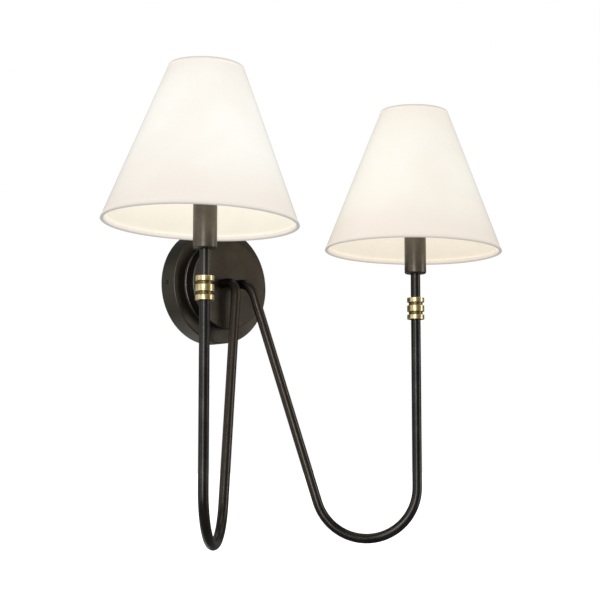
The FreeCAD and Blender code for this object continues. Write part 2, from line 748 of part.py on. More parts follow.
def make_clip():
    """Hub on the cross bar, a small plate under it and sprung legs down the bulb."""
    hub_bore = BAR_DIAMETER / 2 + RUNNING_GAP
    hub_radius = hub_bore + CLIP_HUB_WALL
    half = CLIP_HUB_LENGTH / 2
    hub = Part.makeCylinder(hub_radius, CLIP_HUB_LENGTH, Vector(0, -half, bar_height), Y_AXIS)
    plate_top = bar_height - hub_radius + CLIP_PLATE_THICKNESS / 2
    plate_bottom = plate_top - CLIP_PLATE_THICKNESS
    clip = hub.fuse(cylinder(CLIP_PLATE_DIAMETER / 2, plate_bottom, plate_top))
    wire = CLIP_WIRE_DIAMETER / 2
    leg_radius = bulb_widest_radius + LOOSE_GAP + wire
    start_radius = CLIP_PLATE_DIAMETER / 2 - 2 * wire
    wire_height = plate_bottom + wire / 2
    for step in range(CLIP_LEGS):
        route = rounded_route(
            [
                Vector(start_radius, 0, wire_height),
                Vector(leg_radius, 0, wire_height - CLIP_SHOULDER_DROP),
                Vector(leg_radius, 0, bulb_widest_height)],
            [CLIP_BEND_RADIUS])
        leg = swept_rod(route, wire)
        leg.rotate(ORIGIN, Z_AXIS, 45 + 360 * step / CLIP_LEGS)
        clip = clip.fuse(leg)
    bore = Part.makeCylinder(
        hub_bore, 2 * CLIP_HUB_LENGTH, Vector(0, -CLIP_HUB_LENGTH, bar_height), Y_AXIS)
    return clip.cut(bore)


# ---------------------------------------------------------------- wiring

def lead_corners(side):
    """Corners of a lead's centre line, from its connector to the lamp holder."""
    wall_end, top_corner, bottom_corner, stem_end = arm_corners(side)
    turn_reach = arm_tail_end - LEAD_BEND_RADIUS - LEAD_TAIL_GAP
    behind = Vector(wall_end.x, -turn_reach, 0)
    connector_mouth = Vector(wall_end.x, -turn_reach, LEAD_RISE)
    holder_end = Vector(stem_end.x, stem_end.y, holder_bottom - PRESS_GAP)
    return [connector_mouth, behind, top_corner, bottom_corner, holder_end]


def make_lead(side):
    """Two-core lead inside the arm, bent up behind the arm's tail."""
    radii = [LEAD_BEND_RADIUS, ARM_TOP_BEND_RADIUS, ARM_BOTTOM_BEND_RADIUS]
    return swept_rod(rounded_route(lead_corners(side), radii), LEAD_DIAMETER / 2)


def make_connectors():
    """Twist-on caps over the upper ends of the leads."""
    caps = []
    for side in SIDES:
        mouth = lead_corners(side)[0]
        cap = turned([
            (0, 0), (CONNECTOR_MOUTH_DIAMETER / 2, 0),
            (CONNECTOR_MOUTH_DIAMETER / 2, CONNECTOR_SKIRT),
            (CONNECTOR_TIP_DIAMETER / 2, CONNECTOR_LENGTH), (0, CONNECTOR_LENGTH)])
        cap = cap.cut(cylinder(
            LEAD_DIAMETER / 2 + SLIP_GAP, -CUT_SPARE, CONNECTOR_MOUTH_DEPTH))
        caps.append(moved(cap, mouth.x, mouth.y, mouth.z - CONNECTOR_MOUTH_DEPTH + PRESS_GAP))
    return Part.makeCompound(caps)


# ---------------------------------------------------------------- assembly

def build():
    """Every piece by its name."""
    pieces = {
        "mounting_bracket": make_bracket(),
        "ground_screw": make_ground_screw(),
        "canopy": make_canopy(),
        "canopy_rim_screws": make_rim_screws(),
        "boss_cap": make_boss(),
        "boss_screws": make_boss_screws(),
        "arm_washers": make_arm_washers(),
        "arm_lock_nuts": make_arm_nuts(),
        "cup_lock_nuts": make_cup_nuts(),
        "wire_connectors": make_connectors()}
    for side in SIDES:
        pieces["arm_" + side] = make_arm(side)
        pieces["lead_" + side] = make_lead(side)
        for name, shape in (
                ("collar", make_collar()),
                ("stem", make_stem()),
                ("cup", make_cup()),
                ("holder_yoke", make_yoke()),
                ("holder_body", make_holder()),
                ("holder_shell", make_holder_shell()),
                ("holder_contact", make_holder_contact()),
                ("bulb_base", make_bulb_base()),
                ("bulb_eyelet", make_bulb_eyelet()),
                ("bulb_glass", make_bulb_glass()),
                ("bulb_filament", make_filament()),
                ("bulb_clip", make_clip())):
            pieces[name + "_" + side] = on_stem(shape, side)
        bottom_ring = ring_height(SHADE_BOTTOM, True)
        top_ring = ring_height(shade_top, False)
        for name, shape in (
                ("shade", make_shade()),
                ("shade_bottom_ring", make_wire_ring(bottom_ring)),
                ("shade_top_ring", make_wire_ring(top_ring)),
                ("shade_bottom_trim", make_trim(SHADE_BOTTOM, TRIM_HEIGHT, True)),
                ("shade_top_trim", make_top_trim()),
                ("shade_bar", make_bar())):
            pieces[name + "_" + side] = leaned(shape, side)
    return pieces


os.makedirs("parts", exist_ok=True)
for node, piece in build().items():
    solids = piece.Solids
    whole = all(solid.isValid() and solid.isClosed() for solid in solids)
    print(node, "solids", len(solids), "volume", round(piece.Volume, 1), "sound", whole)
    shape = solids[0] if len(solids) == 1 else Part.makeCompound(solids)
    shape.exportStep("parts/" + node + ".step")
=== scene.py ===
# %% [markdown]
# # A wall light with two bent arms, dressed for the camera
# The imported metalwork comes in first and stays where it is.
# Everything below only gives it finishes, sews its two cloth shades, and lights the studio.
# Load this file in Blender 4.5, cell by cell, from top to bottom.

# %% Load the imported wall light
import math

import bpy
import numpy as np
from mathutils import Matrix, Vector


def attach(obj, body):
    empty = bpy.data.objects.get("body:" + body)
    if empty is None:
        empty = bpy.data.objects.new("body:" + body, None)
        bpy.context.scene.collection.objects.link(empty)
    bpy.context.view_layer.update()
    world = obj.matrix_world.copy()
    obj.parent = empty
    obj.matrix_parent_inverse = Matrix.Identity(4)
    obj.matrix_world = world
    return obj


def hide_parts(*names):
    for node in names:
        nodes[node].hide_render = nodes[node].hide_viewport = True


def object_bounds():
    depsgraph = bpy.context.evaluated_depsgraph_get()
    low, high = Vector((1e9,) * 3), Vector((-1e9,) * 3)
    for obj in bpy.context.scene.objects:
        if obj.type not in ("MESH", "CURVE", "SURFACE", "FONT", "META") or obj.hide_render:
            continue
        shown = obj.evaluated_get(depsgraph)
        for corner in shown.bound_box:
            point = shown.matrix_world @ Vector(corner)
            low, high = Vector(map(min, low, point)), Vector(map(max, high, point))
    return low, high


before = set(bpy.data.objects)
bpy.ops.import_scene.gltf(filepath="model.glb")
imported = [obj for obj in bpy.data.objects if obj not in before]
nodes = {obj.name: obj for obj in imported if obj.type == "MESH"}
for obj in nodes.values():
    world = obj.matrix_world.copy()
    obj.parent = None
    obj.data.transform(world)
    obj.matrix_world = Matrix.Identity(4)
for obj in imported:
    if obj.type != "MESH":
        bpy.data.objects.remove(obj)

cad_low, cad_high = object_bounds()
print("CAD box in mm:", [round((b - a) * 1000) for a, b in zip(cad_low, cad_high)])

# %% [markdown]
# ## The camera
# The picture was taken from the left and a little below the shades, from about one and a half metres.
# Place, turn and focal length were worked out from the edges of the canopy, arms and shades.
# A camera looks along its own -Z with +Y up, so its matrix is built from its right, up and back.

# %% Camera
CAMERA_PLACE = Vector((-0.99526, -1.30210, -0.19576))
CAMERA_YAW = math.radians(40.929)
CAMERA_PITCH = math.radians(6.341)
FOCAL_PIXELS = 1493.07
FRAME_PIXELS = 600

ahead = Vector((
    math.sin(CAMERA_YAW) * math.cos(CAMERA_PITCH),
    math.cos(CAMERA_YAW) * math.cos(CAMERA_PITCH),
    math.sin(CAMERA_PITCH)))
rightwards = Vector((math.cos(CAMERA_YAW), -math.sin(CAMERA_YAW), 0.0))
upwards = rightwards.cross(ahead)

camera_data = bpy.data.cameras.new("camera")
camera_data.sensor_width = 36.0
camera_data.lens = FOCAL_PIXELS / FRAME_PIXELS * camera_data.sensor_width
camera = bpy.data.objects.new("camera", camera_data)
camera.matrix_world = Matrix.Translation(CAMERA_PLACE) @ Matrix(
    (rightwards, upwards, -ahead)).transposed().to_4x4()
bpy.context.scene.collection.objects.link(camera)
bpy.context.scene.camera = camera
print("lens in mm:", round(camera_data.lens, 1))

# %% [markdown]
# ## The studio
# The light hangs in front of plain white, over a plain white floor far below it.
# Lacquered metal shows its form only by what it mirrors, and cloth by the light that falls on it,
# so the two are lit apart: the tall soft boxes are seen by mirror reflections alone,
# and one wide soft box and the room's own pale light fall on the cloth.
# A band of light on a round tube stands where the tube's normal points halfway
# between the camera and a box, which is how the boxes' directions were chosen.

# %% Floor, background and soft boxes
FLOOR_DROP = 0.75
FLOOR_REACH = 90.0
bpy.context.scene.view_settings.view_transform = "Standard"


def new_material(name):
    """Material with an empty node tree, and its output node."""
    material = bpy.data.materials.new(name)
    material.use_nodes = True
    material.node_tree.nodes.clear()
    return material, material.node_tree.nodes.new("ShaderNodeOutputMaterial")


def soft_box(name, azimuth, elevation, distance, width, height, glow, in_mirrors_only=True):
    """Area light aimed at the wall light; azimuth 0 stands in front and 90 at its right.

    An area light of radiance L and area A gives pi * L * A watts.
    """
    turn, rise = math.radians(azimuth), math.radians(elevation)
    away = Vector((
        math.sin(turn) * math.cos(rise), -math.cos(turn) * math.cos(rise), math.sin(rise)))
    data = bpy.data.lights.new(name, "AREA")
    data.shape = "RECTANGLE"
    data.size, data.size_y = width, height
    data.energy = math.pi * glow * width * height
    data.color = (1.0, 0.985, 0.965)
    lamp = bpy.data.objects.new(name, data)
    lamp.location = (cad_low + cad_high) / 2 + away * distance
    lamp.rotation_mode = "QUATERNION"
    lamp.rotation_quaternion = away.to_track_quat("Z", "Y")
    lamp.visible_camera = False
    lamp.visible_diffuse = not in_mirrors_only
    bpy.context.scene.collection.objects.link(lamp)


floor_mesh = bpy.data.meshes.new("floor")
floor_mesh.from_pydata(
    [(x * FLOOR_REACH, y * FLOOR_REACH, -FLOOR_DROP) for x, y in ((-1, -1), (1, -1), (1, 1), (-1, 1))],
    [], [(0, 1, 2, 3)])
floor = bpy.data.objects.new("floor", floor_mesh)
floor.visible_glossy = False
floor.visible_diffuse = False
bpy.context.scene.collection.objects.link(floor)
floor_material, floor_out = new_material("white_floor")
floor_shader = floor_material.node_tree.nodes.new("ShaderNodeBsdfPrincipled")
floor_shader.inputs["Base Color"].default_value = (0.86, 0.86, 0.85, 1)
floor_shader.inputs["Roughness"].default_value = 0.9
floor_shader.inputs["Emission Color"].default_value = (1, 1, 1, 1)
floor_shader.inputs["Emission Strength"].default_value = 1.0
floor_material.node_tree.links.new(floor_shader.outputs[0], floor_out.inputs[0])
floor_mesh.materials.append(floor_material)

ROOM_LIGHT = 0.42
ROOM_IN_MIRRORS = 0.14
world = bpy.data.worlds.new("studio")
bpy.context.scene.world = world
world.use_nodes = True
world_nodes, world_links = world.node_tree.nodes, world.node_tree.links
background = world_nodes["Background"]
background.inputs["Color"].default_value = (1.0, 1.0, 1.0, 1)
rays = world_nodes.new("ShaderNodeLightPath")
mirrored = world_nodes.new("ShaderNodeMix")
mirrored.inputs["A"].default_value = ROOM_LIGHT
mirrored.inputs["B"].default_value = ROOM_IN_MIRRORS
seen = world_nodes.new("ShaderNodeMix")
seen.inputs["B"].default_value = 1.0
world_links.new(rays.outputs["Is Glossy Ray"], mirrored.inputs["Factor"])
world_links.new(mirrored.outputs["Result"], seen.inputs["A"])
world_links.new(rays.outputs["Is Camera Ray"], seen.inputs["Factor"])
world_links.new(seen.outputs["Result"], background.inputs["Strength"])

soft_box("band_box", -56, 4, 1.9, 0.60, 1.8, 4.9)
soft_box("left_sheet", -102, 4, 1.9, 1.30, 1.8, 0.8)
soft_box("streak_box", 44, 4, 1.9, 0.46, 1.8, 3.8)
soft_box("edge_box", -146, 2, 1.9, 1.00, 1.8, 0.48)
soft_box("low_box", 176, -38, 1.9, 1.60, 1.0, 0.60)
soft_box("behind_box", 150, 52, 1.9, 0.90, 0.9, 0.8)
soft_box("cloth_box", -48, 24, 2.2, 1.60, 1.6, 0.32, in_mirrors_only=False)
print("floor", FLOOR_DROP, "m below the canopy's centre")

# %% [markdown]
# ## Small tools for materials
# Every finish below is a Principled shader, and shared effects are node groups:
# a group has named inputs and outputs, is built once, and is placed in each material with its own values.
# `wire` links two sockets or writes a plain value, and `step` adds one Math node.

# %% Material helpers


def wire(tree, source, target):
    """Link a socket to another one, or write a plain value on it."""
    if hasattr(source, "is_linked"):
        tree.links.new(source, target)
    else:
        target.default_value = source


def step(tree, operation, *values, clamp=False):
    """One Math node; returns its output."""
    node = tree.nodes.new("ShaderNodeMath")
    node.operation = operation
    node.use_clamp = clamp
    for value, socket in zip(values, node.inputs):
        wire(tree, value, socket)
    return node.outputs[0]


def between(tree, value, low, high, to_low=0.0, to_high=1.0):
    """Map Range node that eases from one range to another; returns its output."""
    node = tree.nodes.new("ShaderNodeMapRange")
    node.interpolation_type = "SMOOTHSTEP"
    wire(tree, value, node.inputs["Value"])
    for name, number in zip(("From Min", "From Max", "To Min", "To Max"), (low, high, to_low, to_high)):
        wire(tree, number, node.inputs[name])
    return node.outputs[0]


def noise(tree, vector, scale, detail=2.0, roughness=0.5):
    """Noise texture; returns its grey output."""
    node = tree.nodes.new("ShaderNodeTexNoise")
    wire(tree, vector, node.inputs["Vector"])
    wire(tree, scale, node.inputs["Scale"])
    node.inputs["Detail"].default_value = detail
    node.inputs["Roughness"].default_value = roughness
    return node.outputs[0]


def blend_colour(tree, factor, first, second, mode="MIX"):
    """Colour mix; returns its colour output."""
    node = tree.nodes.new("ShaderNodeMix")
    node.data_type = "RGBA"
    node.blend_type = mode
    wire(tree, factor, node.inputs[0])
    wire(tree, first, node.inputs[6])
    wire(tree, second, node.inputs[7])
    return node.outputs[2]


def new_group(name, inputs, outputs):
    """Node group with named sockets; returns the group, its input node and its output node."""
    group = bpy.data.node_groups.new(name, "ShaderNodeTree")
    for label, kind, value in inputs:
        socket = group.interface.new_socket(label, in_out="INPUT", socket_type="NodeSocket" + kind)
        socket.default_value = value
    for label, kind in outputs:
        group.interface.new_socket(label, in_out="OUTPUT", socket_type="NodeSocket" + kind)
    return group, group.nodes.new("NodeGroupInput"), group.nodes.new("NodeGroupOutput")


def place_group(tree, group, **values):
    """Put a group in a material; the names of values use _ for a space."""
    node = tree.nodes.new("ShaderNodeGroup")
    node.node_tree = group
    for label, value in values.items():
        wire(tree, value, node.inputs[label.replace("_", " ")])
    return node


def principled(name, metallic, roughness, **plain):
    """Material with one Principled shader; plain values go straight on its own sockets."""
    material, out = new_material(name)
    tree = material.node_tree
    shader = tree.nodes.new("ShaderNodeBsdfPrincipled")
    shader.inputs["Metallic"].default_value = metallic
    shader.inputs["Roughness"].default_value = roughness
    for label, value in plain.items():
        shader.inputs[label.replace("_", " ")].default_value = value
    tree.links.new(shader.outputs[0], out.inputs[0])
    return material, tree, shader


def object_place(tree):
    """Object coordinates, which are the wall light's own metres."""
    return tree.nodes.new("ShaderNodeTexCoord").outputs["Object"]


def bump(tree, height, strength, distance, shader):
    """Bump from a height to the shader's normal."""
    node = tree.nodes.new("ShaderNodeBump")
    node.inputs["Strength"].default_value = strength
    node.inputs["Distance"].default_value = distance
    wire(tree, height, node.inputs["Height"])
    tree.links.new(node.outputs["Normal"], shader.inputs["Normal"])


print("helpers ready")

# %% [markdown]
# ## Shared effects
# `patina` is the cloudy change of tone that lacquered bronze has, with fine specks in it.
# `tool_marks` are fine parallel lines left by turning, drawing or brushing: noise that is squeezed
# along one direction, so each line is long and thin.

# %% Node groups shared by the metals


def make_patina():
    """Clouds of large noise tinted between two colours, with fine specks; also gives a mask."""
    group, given, result = new_group(
        "patina",
        [("Place", "Vector", (0, 0, 0)), ("Dark", "Color", (0, 0, 0, 1)),
         ("Light", "Color", (1, 1, 1, 1)), ("Cloud Size", "Float", 18.0),
         ("Speck Size", "Float", 900.0)],
        [("Color", "Color"), ("Mask", "Float")])
    clouds = between(group, noise(
        group, given.outputs["Place"], given.outputs["Cloud Size"], 4.0, 0.6), 0.32, 0.70)
    specks = between(group, noise(
        group, given.outputs["Place"], given.outputs["Speck Size"], 1.0, 0.5), 0.35, 0.75)
    mask = step(group, "ADD", step(group, "MULTIPLY", clouds, 0.8), step(
        group, "MULTIPLY", specks, 0.2), clamp=True)
    colour = blend_colour(group, mask, given.outputs["Dark"], given.outputs["Light"])
    group.links.new(colour, result.inputs["Color"])
    group.links.new(mask, result.inputs["Mask"])
    return group


def make_tool_marks():
    """Long thin lines: noise on coordinates stretched by a different number along each axis."""
    group, given, result = new_group(
        "tool_marks",
        [("Place", "Vector", (0, 0, 0)), ("Stretch", "Vector", (1, 1, 1))],
        [("Mask", "Float")])
    stretched = group.nodes.new("ShaderNodeVectorMath")
    stretched.operation = "MULTIPLY"
    group.links.new(given.outputs["Place"], stretched.inputs[0])
    group.links.new(given.outputs["Stretch"], stretched.inputs[1])
    group.links.new(noise(group, stretched.outputs[0], 1.0, 3.0, 0.65), result.inputs["Mask"])
    return group


patina = make_patina()
tool_marks = make_tool_marks()
print("groups:", patina.name, tool_marks.name)

# %% [markdown]
# ## Dark bronze lacquer
# The canopy, arms, stems and cups are steel with a dark bronze lacquer, satin and almost black.
# Round plates are spun, so their marks run in circles; tubes are drawn, so theirs run lengthwise.
# The colour sits in the metal's reflection, and a thin clear coat gives the sharp part of the shine.

# %% Bronze finishes
BRONZE_DARK = (0.028, 0.027, 0.025, 1)
BRONZE_LIGHT = (0.060, 0.056, 0.051, 1)
# painted reflection: warm tone near the wall, standing in for the lit shades that the arms mirror
TUBE_PAINTED_REFLECTION = (0.080, 0.062, 0.046, 1)
# painted shade: near black where the tube leaves the boss
TUBE_ROOT_PAINTED_SHADE = (0.016, 0.014, 0.012, 1)
PLATE_DARK = (0.044, 0.036, 0.026, 1)
PLATE_LIGHT = (0.080, 0.066, 0.049, 1)
# painted light: lighter tone of the rim's side, standing in for the soft box it mirrors
RIM_SIDE_PAINTED_LIGHT = (0.088, 0.080, 0.058, 1)
# painted shade: dark tone laid on the recess round the boss and on the boss's side
PLATE_PAINTED_SHADE = (0.012, 0.010, 0.008, 1)
# painted highlight: light tone on the rounded edges of the boss, its foot and the rim
EDGE_PAINTED_HIGHLIGHT = (0.24, 0.225, 0.205, 1)
# painted light: the cups are the same lacquer, drawn lighter as if lit by the shade above
CUP_PAINTED_GLOW_DARK = (0.100, 0.088, 0.072, 1)
CUP_PAINTED_GLOW_LIGHT = (0.155, 0.136, 0.112, 1)
# rings of the plate, each from an inner to an outer distance from its middle
RECESS_RING = (0.0490, 0.0622)
BOSS_SIDE_RING = (0.0478, 0.0500)
BOSS_EDGE_RING = (0.0472, 0.0486)
FOOT_EDGE_RING = (0.04845, 0.0500)
RIM_EDGE_RING = (0.0624, 0.0636)


def apart_in_metres(tree, place):
    """The three numbers of a place, as three sockets."""
    parts = tree.nodes.new("ShaderNodeSeparateXYZ")
    wire(tree, place, parts.inputs[0])
    return parts.outputs["X"], parts.outputs["Y"], parts.outputs["Z"]


def length_of(tree, first, second):
    """Length of the slanted side over two right-angled ones: the root of the sum of their squares."""
    return step(tree, "SQRT", step(
        tree, "ADD", step(tree, "MULTIPLY", first, first), step(tree, "MULTIPLY", second, second)))


def ring_mask(tree, value, low, high, soft):
    """One between two numbers and zero outside them, with soft ends."""
    rise = between(tree, value, low - soft, low + soft)
    fall = between(tree, value, high - soft, high + soft, 1.0, 0.0)
    return step(tree, "MULTIPLY", rise, fall)


def make_bronze_plate():
    """Spun plate: circular marks read by distance from the middle, painted shade and painted highlights.

    The flat ring round the boss and the boss's side are darkened as painted shade. The rounds of the boss,
    of its foot and of the canopy's rim get painted highlights, stronger on the left; all are found by
    distance and depth. The rim's side is given a lighter tone as painted light.
    """
    material, tree, shader = principled(
        "bronze_plate", 0.85, 0.42, Coat_Weight=0.12, Coat_Roughness=0.30, Specular_IOR_Level=0.5)
    place = object_place(tree)
    x, depth, z = apart_in_metres(tree, place)
    distance, angle = length_of(tree, x, z), step(tree, "ARCTAN2", z, x)
    rings = tree.nodes.new("ShaderNodeCombineXYZ")
    wire(tree, step(tree, "MULTIPLY", distance, 2600.0), rings.inputs["X"])
    wire(tree, step(tree, "MULTIPLY", angle, 0.8), rings.inputs["Y"])
    wire(tree, step(tree, "MULTIPLY", depth, 1400.0), rings.inputs["Z"])
    marks = place_group(tree, tool_marks, Place=rings.outputs[0], Stretch=(1, 1, 1)).outputs["Mask"]
    tone = place_group(
        tree, patina, Place=place, Dark=PLATE_DARK, Light=PLATE_LIGHT, Cloud_Size=26.0)
    # painted shade: the recess round the boss, which the boss keeps from mirroring the light, and the boss's
    # side are darkened
    recess = step(tree, "MULTIPLY", ring_mask(tree, distance, *RECESS_RING, 0.0005), between(
        tree, depth, -0.0240, -0.0226, 1.0, 0.0))
    side = step(tree, "MULTIPLY", ring_mask(tree, distance, *BOSS_SIDE_RING, 0.0003), between(
        tree, depth, -0.0362, -0.0352, 0.0, 1.0))
    painted_shade = step(tree, "MAXIMUM", step(tree, "MULTIPLY", recess, 0.78), step(
        tree, "MULTIPLY", side, 0.45))
    colour = blend_colour(tree, painted_shade, tone.outputs["Color"], PLATE_PAINTED_SHADE)
    # painted light: the rim's side is made lighter, in place of the light of a soft box
    rim = between(tree, distance, 0.0622, 0.0632)
    colour = blend_colour(tree, step(tree, "MULTIPLY", rim, 0.5), colour, RIM_SIDE_PAINTED_LIGHT)
    # painted highlights: thin light lines on the rounds of the boss, its foot and the rim, stronger on the
    # left, where the light comes from, and a little glossier there
    boss_edge = step(tree, "MULTIPLY", ring_mask(tree, distance, *BOSS_EDGE_RING, 0.0003), between(
        tree, depth, -0.0362, -0.0356, 1.0, 0.0))
    foot_edge = ring_mask(tree, distance, *FOOT_EDGE_RING, 0.0002)
    rim_edge = step(tree, "MULTIPLY", ring_mask(tree, distance, *RIM_EDGE_RING, 0.0003), between(
        tree, depth, -0.0228, -0.0220, 1.0, 0.0))
    painted_highlight = step(tree, "MAXIMUM", step(tree, "MULTIPLY", boss_edge, 0.55), step(
        tree, "MAXIMUM", foot_edge, step(tree, "MULTIPLY", rim_edge, 0.35)))
    painted_highlight = step(tree, "MULTIPLY", painted_highlight, between(tree, x, -0.046, -0.034, 0.85, 0.25))
    colour = blend_colour(tree, painted_highlight, colour, EDGE_PAINTED_HIGHLIGHT)
    wire(tree, colour, shader.inputs["Base Color"])
    rough = between(tree, marks, 0.2, 0.8, 0.38, 0.48)
    wire(tree, step(tree, "SUBTRACT", rough, step(tree, "MULTIPLY", painted_highlight, 0.12)),
         shader.inputs["Roughness"])
    bump(tree, marks, 0.05, 0.0002, shader)
    return material


def make_bronze_tube():
    """Drawn tube: marks stretched along the height, with a warmer painted reflection near the wall and
    painted shade, near black, at its root.
    """
    material, tree, shader = principled(
        "bronze_tube", 0.85, 0.32, Coat_Weight=0.15, Coat_Roughness=0.24, Specular_IOR_Level=0.5)
    place = object_place(tree)
    marks = place_group(
        tree, tool_marks, Place=place, Stretch=(1500.0, 1500.0, 30.0)).outputs["Mask"]
    tone = place_group(
        tree, patina, Place=place, Dark=BRONZE_DARK, Light=BRONZE_LIGHT, Cloud_Size=34.0,
        Speck_Size=2400.0)
    depth = apart_in_metres(tree, place)[1]
    # painted reflection: warmer and lighter near the wall, in place of the glow of the shades mirrored in
    # the arms
    painted_reflection = between(tree, depth, -0.150, -0.080, 0.0, 0.6)
    colour = blend_colour(tree, painted_reflection, tone.outputs["Color"], TUBE_PAINTED_REFLECTION)
    # painted shade: the tube turns near black where it leaves the boss
    root_shade = between(tree, depth, -0.064, -0.052, 0.0, 0.9)
    colour = blend_colour(tree, root_shade, colour, TUBE_ROOT_PAINTED_SHADE)
    wire(tree, colour, shader.inputs["Base Color"])
    wire(tree, between(tree, marks, 0.2, 0.8, 0.26, 0.38), shader.inputs["Roughness"])
    bump(tree, marks, 0.04, 0.0002, shader)
    return material


def make_bronze_cup():
    """Turned cup: marks run round it, so they are squeezed along the height. Its tones are lighter than the
    tubes', as painted light from the lit shade above it.
    """
    material, tree, shader = principled(
        "bronze_cup", 0.9, 0.38, Coat_Weight=0.08, Coat_Roughness=0.3, Specular_IOR_Level=0.5)
    place = object_place(tree)
    marks = place_group(
        tree, tool_marks, Place=place, Stretch=(60.0, 60.0, 3000.0)).outputs["Mask"]
    tone = place_group(
        tree, patina, Place=place, Dark=CUP_PAINTED_GLOW_DARK, Light=CUP_PAINTED_GLOW_LIGHT, Cloud_Size=40.0)
    wire(tree, tone.outputs["Color"], shader.inputs["Base Color"])
    wire(tree, between(tree, marks, 0.2, 0.8, 0.33, 0.43), shader.inputs["Roughness"])
    bump(tree, marks, 0.06, 0.0002, shader)
    return material


bronze_plate, bronze_tube, bronze_cup = make_bronze_plate(), make_bronze_tube(), make_bronze_cup()
print("bronze:", bronze_plate.name, bronze_tube.name, bronze_cup.name)

# %% [markdown]
# ## Polished brass
# The two collars are turned from bar and polished, so they mirror the soft boxes as bright bands.
# The grooves are darker towards their bottom.

# %% Brass finishes
COLLAR_AXES = {"left": (-0.142, -0.180), "right": (0.142, -0.180)}
BRASS_DARK = (0.64, 0.52, 0.24, 1)
BRASS_LIGHT = (0.88, 0.78, 0.48, 1)
# darker tone towards the bottom of the grooves
GROOVE_DARK_TONE = (0.13, 0.085, 0.03, 1)
GROOVE_DEPTHS = (0.0076, 0.0090)


def make_brass(name, side, roughness):
    """Turned brass: lines round the axis, and darker metal near the bottom of the grooves."""
    material, tree, shader = principled(name, 1.0, roughness, Coat_Weight=0.15, Coat_Roughness=0.08)
    place = object_place(tree)
    x, y = (
        step(tree, "SUBTRACT", part, axis)
        for part, axis in zip(apart_in_metres(tree, place), COLLAR_AXES[side]))
    deep = between(tree, length_of(tree, x, y), *GROOVE_DEPTHS, 1.0, 0.0)
    marks = place_group(
        tree, tool_marks, Place=place, Stretch=(40.0, 40.0, 4200.0)).outputs["Mask"]
    tone = place_group(
        tree, patina, Place=place, Dark=BRASS_DARK, Light=BRASS_LIGHT, Cloud_Size=120.0)
    groove_darkening = step(tree, "MULTIPLY", deep, 0.92)
    wire(tree, blend_colour(tree, groove_darkening, tone.outputs["Color"], GROOVE_DARK_TONE),
         shader.inputs["Base Color"])
    rough = between(tree, marks, 0.2, 0.8, roughness - 0.03, roughness + 0.05)
    wire(tree, step(tree, "ADD", rough, step(tree, "MULTIPLY", deep, 0.12)),
         shader.inputs["Roughness"])
    bump(tree, marks, 0.05, 0.0002, shader)
    return material


polished_brass = {side: make_brass("polished_brass_" + side, side, 0.29) for side in COLLAR_AXES}
plain_brass = {side: make_brass("plain_brass_" + side, side, 0.30) for side in COLLAR_AXES}
print("brass:", [m.name for m in polished_brass.values()])

# %% [markdown]
# ## Finishes that stay out of sight
# The bracket, nuts, screws, wires and lamp holders show from behind or through a shade's mouth.
# They are as real as the rest: zinc plate has large dull crystals, moulded plastic a fine grain.

# %% Plated steel, plastics and wire


def make_zinc():
    """Zinc plate: dull crystals from a cell pattern, with fine scratches."""
    material, tree, shader = principled("zinc_plate", 1.0, 0.42)
    place = object_place(tree)
    cells = tree.nodes.new("ShaderNodeTexVoronoi")
    wire(tree, place, cells.inputs["Vector"])
    cells.inputs["Scale"].default_value = 260.0
    tone = between(tree, cells.outputs["Distance"], 0.0, 0.9)
    colour = blend_colour(tree, tone, (0.62, 0.62, 0.60, 1), (0.48, 0.48, 0.47, 1))
    scratches = place_group(
        tree, tool_marks, Place=place, Stretch=(60.0, 900.0, 900.0)).outputs["Mask"]
    wire(tree, colour, shader.inputs["Base Color"])
    wire(tree, between(tree, scratches, 0.2, 0.8, 0.32, 0.50), shader.inputs["Roughness"])
    bump(tree, scratches, 0.08, 0.0002, shader)
    return material


def make_moulded(name, dark, light, roughness, grain):
    """Moulded plastic: a close grain over two near tones."""
    material, tree, shader = principled(name, 0.0, roughness, Specular_IOR_Level=0.45)
    place = object_place(tree)
    tone = place_group(tree, patina, Place=place, Dark=dark, Light=light, Cloud_Size=60.0)
    wire(tree, tone.outputs["Color"], shader.inputs["Base Color"])
    pits = noise(tree, place, grain, 2.0, 0.6)
    wire(tree, between(tree, pits, 0.2, 0.8, roughness - 0.06, roughness + 0.06),
         shader.inputs["Roughness"])
    bump(tree, pits, 0.12, 0.0002, shader)
    return material


zinc = make_zinc()
moulded_black = make_moulded(
    "moulded_black", (0.018, 0.018, 0.018, 1), (0.035, 0.034, 0.032, 1), 0.38, 1800.0)
moulded_orange = make_moulded(
    "moulded_orange", (0.70, 0.24, 0.035, 1), (0.82, 0.32, 0.06, 1), 0.34, 1500.0)
sleeve = make_moulded("sleeve", (0.62, 0.58, 0.47, 1), (0.74, 0.70, 0.60, 1), 0.55, 1200.0)
white_wire = make_moulded("white_wire", (0.66, 0.65, 0.62, 1), (0.76, 0.75, 0.72, 1), 0.40, 2200.0)
green_screw = make_moulded("green_screw", (0.02, 0.16, 0.05, 1), (0.04, 0.26, 0.09, 1), 0.36, 1800.0)
print("hidden finishes ready")

# %% [markdown]
# ## The lit bulbs
# Each bulb is a frosted candle that glows over its whole glass and lights the clip and holder near it.
# A camera that is set for the room shows such glass almost white, and warmer towards its outline,
# where the eye looks through more of it. The light that reaches the outside of a shade is given
# to the cloth itself, further down, because that is quicker and calmer than light passed through it.

# %% Bulb glass and filament
LAMP_WHITE = (1.0, 0.90, 0.72, 1)
LAMP_WARM = (1.0, 0.80, 0.56, 1)
LAMP_EDGE = (0.86, 0.47, 0.20, 1)


